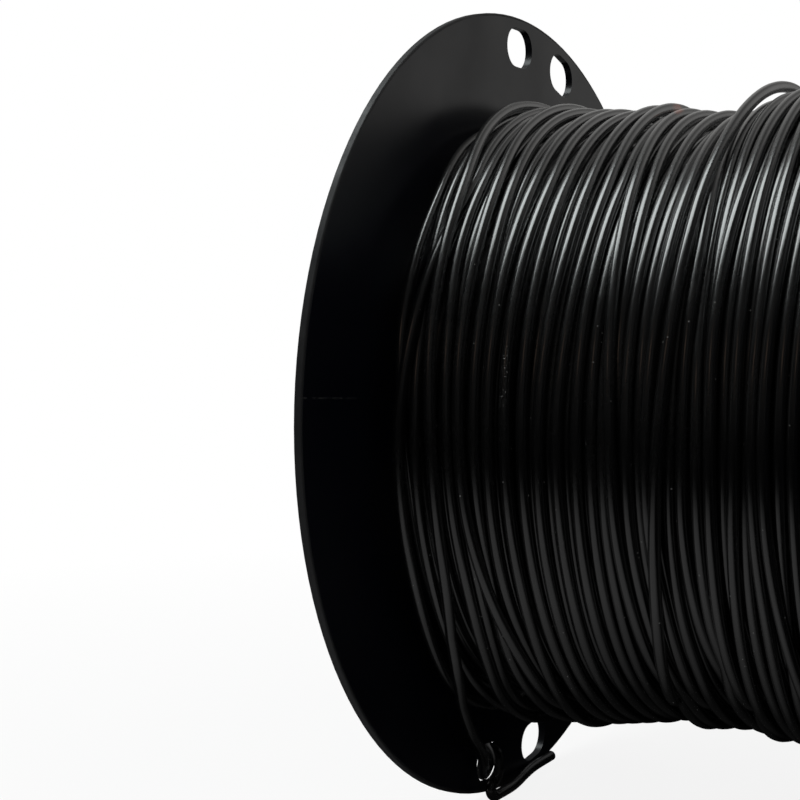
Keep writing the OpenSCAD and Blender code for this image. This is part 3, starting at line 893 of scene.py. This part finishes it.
def make_floor():
    """A wide pale floor under the rims, white to the camera, with a faint shadow. In gloss it
    glows as a painted reflection, with painted shadow under the spool.
    """
    half = FLOOR_HALF
    mesh = bpy.data.meshes.new("floor")
    z = FLOOR_Z * MM - FLOOR_DROP
    corners = [(-half, -half, z), (half, -half, z), (half, half, z), (-half, half, z)]
    mesh.from_pydata(corners, [], [(0, 1, 2, 3)])
    floor = bpy.data.objects.new("floor", mesh)
    bpy.context.scene.collection.objects.link(floor)
    material = bpy.data.materials.new("floor_pale")
    material.use_nodes = True
    tree = material.node_tree
    tree.nodes.clear()
    out = tree.nodes.new("ShaderNodeOutputMaterial")
    paper = add(tree, "ShaderNodeBsdfDiffuse", Color=(0.8, 0.8, 0.8, 1))
    white = add(tree, "ShaderNodeEmission", Color=(1, 1, 1, 1), Strength=1.0)
    mix = tree.nodes.new("ShaderNodeMixShader")
    path = tree.nodes.new("ShaderNodeLightPath")
    # pure white to the camera but for the shadow beside the spool
    place = tree.nodes.new("ShaderNodeTexCoord")
    length = tree.nodes.new("ShaderNodeVectorMath")
    length.operation = "LENGTH"
    tree.links.new(place.outputs["Object"], length.inputs[0])
    plain = ramp(tree, length.outputs["Value"], 0.2, 0.5, 0.88, 1.0)
    tree.links.new(math_node(tree, "MULTIPLY", path.outputs["Is Camera Ray"], plain), mix.inputs[0])
    # seen in gloss, the floor glows as a grey strip in front of the spool: a painted reflection of lit
    # floor, with painted shadow under and behind the spool
    split = tree.nodes.new("ShaderNodeSeparateXYZ")
    tree.links.new(place.outputs["Object"], split.inputs[0])
    # painted shadow: darker under the spool and just behind it
    near = math_node(
        tree,
        "MULTIPLY",
        ramp(tree, split.outputs["Y"], -0.1, -0.024, 1, 0.05),
        ramp(tree, split.outputs["Y"], 0, 0.02, 1, 0.1),
    )
    far = ramp(tree, split.outputs["Y"], -0.32, -0.19, 0, 0.165)
    strip = add(tree, "ShaderNodeEmission", Color=(1, 1, 1, 1))
    sides = math_node(
        tree,
        "MULTIPLY",
        ramp(tree, split.outputs["X"], -0.2, -0.13, 0, 1),
        ramp(tree, split.outputs["X"], 0.03, 0.08, 1, 0),
    )
    painted_floor_glow = math_node(tree, "MULTIPLY", math_node(tree, "MULTIPLY", near, far), sides)
    tree.links.new(painted_floor_glow, strip.inputs["Strength"])
    sheet = tree.nodes.new("ShaderNodeMixShader")
    tree.links.new(path.outputs["Is Glossy Ray"], sheet.inputs[0])
    tree.links.new(paper.outputs[0], sheet.inputs[1])
    tree.links.new(strip.outputs[0], sheet.inputs[2])
    tree.links.new(sheet.outputs[0], mix.inputs[1])
    tree.links.new(white.outputs[0], mix.inputs[2])
    tree.links.new(mix.outputs[0], out.inputs[0])
    mesh.materials.append(material)


WARM_PATCH = (-0.15, -0.9, 0.4)  # the way to it


def make_world():
    """White to the camera and through glass. In gloss, grey behind the object with a
    paler panel to the left, a faint strip at the far left, and dark in front of it but
    for a small warm patch. For diffuse light, an even grey."""
    world = bpy.data.worlds.new("studio")
    bpy.context.scene.world = world
    world.use_nodes = True
    tree = world.node_tree
    tree.nodes.clear()
    out = tree.nodes.new("ShaderNodeOutputWorld")
    path = tree.nodes.new("ShaderNodeLightPath")
    place = tree.nodes.new("ShaderNodeTexCoord")
    split = tree.nodes.new("ShaderNodeSeparateXYZ")
    tree.links.new(place.outputs["Generated"], split.inputs[0])
    behind = ramp(tree, split.outputs["Y"], -0.2, 0.5)
    aside = math_node(tree, "ABSOLUTE", math_node(tree, "ADD", split.outputs["X"], 0.36), 0.0)
    panel = math_node(tree, "MULTIPLY", behind, ramp(tree, aside, 0.1, 0.35, 0.2, 0))
    room = ramp(tree, split.outputs["Y"], -0.2, 0.6, 0.05, 1)
    room = math_node(tree, "MULTIPLY", room, ramp(tree, split.outputs["X"], 0.1, 0.4, 0.15, 0.42))
    room = math_node(tree, "MULTIPLY", room, ramp(tree, split.outputs["X"], 0.6, 0.78, 1, 0))
    left = ramp(tree, split.outputs["X"], -0.94, -0.84, 0.05, 0)
    level = math_node(tree, "ADD", math_node(tree, "ADD", room, panel), left)
    toward = add(tree, "ShaderNodeVectorMath", operation="DISTANCE")
    tree.links.new(place.outputs["Generated"], toward.inputs[0])
    toward.inputs[1].default_value = WARM_PATCH
    warm = ramp(tree, toward.outputs["Value"], 0.03, 0.13, 1, 0)
    hue = blend_colour(tree, warm, (1, 0.99, 0.97), (1, 0.55, 0.3))
    level = math_node(tree, "ADD", level, math_node(tree, "MULTIPLY", warm, 0.42))
    gloss = add(tree, "ShaderNodeBackground")
    tree.links.new(hue, gloss.inputs["Color"])
    tree.links.new(level, gloss.inputs["Strength"])
    dim = add(tree, "ShaderNodeBackground", Color=(1, 1, 1, 1), Strength=0.55)
    white = add(tree, "ShaderNodeBackground", Color=(1, 1, 1, 1), Strength=1.0)
    first = tree.nodes.new("ShaderNodeMixShader")
    tree.links.new(path.outputs["Is Glossy Ray"], first.inputs[0])
    tree.links.new(dim.outputs[0], first.inputs[1])
    tree.links.new(gloss.outputs[0], first.inputs[2])
    second = tree.nodes.new("ShaderNodeMixShader")
    camera_ray, through_glass = path.outputs["Is Camera Ray"], path.outputs["Is Transmission Ray"]
    seen = math_node(tree, "MAXIMUM", camera_ray, through_glass)
    tree.links.new(seen, second.inputs[0])
    tree.links.new(first.outputs[0], second.inputs[1])
    tree.links.new(white.outputs[0], second.inputs[2])
    tree.links.new(second.outputs[0], out.inputs[0])


def make_card():
    """A dark card that stands behind the spool's lower part, black at the foot and dim grey
    above. Only gloss sees it: it puts painted shade into the reflections of the lower wires and the
    flange, and its grey top is a faint painted glow."""
    half, low, high, back = 0.6, FLOOR_Z * MM, 0.07, 0.16
    mesh = bpy.data.meshes.new("dark_card")
    corners = [(-half, back, low), (half, back, low), (half, back, high), (-half, back, high)]
    mesh.from_pydata(corners, [], [(0, 1, 2, 3)])
    card = bpy.data.objects.new("dark_card", mesh)
    bpy.context.scene.collection.objects.link(card)
    material = bpy.data.materials.new("card_dim")
    material.use_nodes = True
    tree = material.node_tree
    tree.nodes.clear()
    place = tree.nodes.new("ShaderNodeTexCoord")
    split = tree.nodes.new("ShaderNodeSeparateXYZ")
    tree.links.new(place.outputs["Object"], split.inputs[0])
    dim = add(tree, "ShaderNodeEmission", Color=(1, 1, 1, 1))
    # painted shade at the foot, a faint painted glow above
    tree.links.new(ramp(tree, split.outputs["Z"], -0.05, 0.0, 0, 0.16), dim.inputs["Strength"])
    out = tree.nodes.new("ShaderNodeOutputMaterial")
    tree.links.new(dim.outputs[0], out.inputs[0])
    mesh.materials.append(material)
    card.visible_camera = False
    card.visible_diffuse = False
    card.visible_transmission = False
    card.visible_shadow = False


def softbox(name, toward, distance, width, length, radiance, colour=(1, 1, 1)):
    """A rectangular lamp that faces the origin from the direction `toward`, its width
    along the spool's axis as far as that direction allows. Its power is radiance times
    pi times its area."""
    data = bpy.data.lights.new(name, "AREA")
    data.shape = "RECTANGLE"
    data.size, data.size_y = width, length
    data.energy = radiance * math.pi * width * length
    data.color = colour
    lamp = bpy.data.objects.new(name, data)
    bpy.context.scene.collection.objects.link(lamp)
    back = Vector(toward).normalized()
    up = back.cross(Vector((1, 0, 0))).normalized()
    turn = Matrix((up.cross(back), up, back)).transposed().to_4x4()
    lamp.matrix_world = Matrix.Translation(back * distance) @ turn


make_floor()
make_world()
make_card()
softbox(
    "main_softbox",
    toward=(-0.38, -0.22, 0.90),
    distance=0.8,
    width=0.62,
    length=0.42,
    radiance=3.4,
    colour=(0.94, 1, 1),
)

bpy.context.scene.view_settings.view_transform = "Standard"
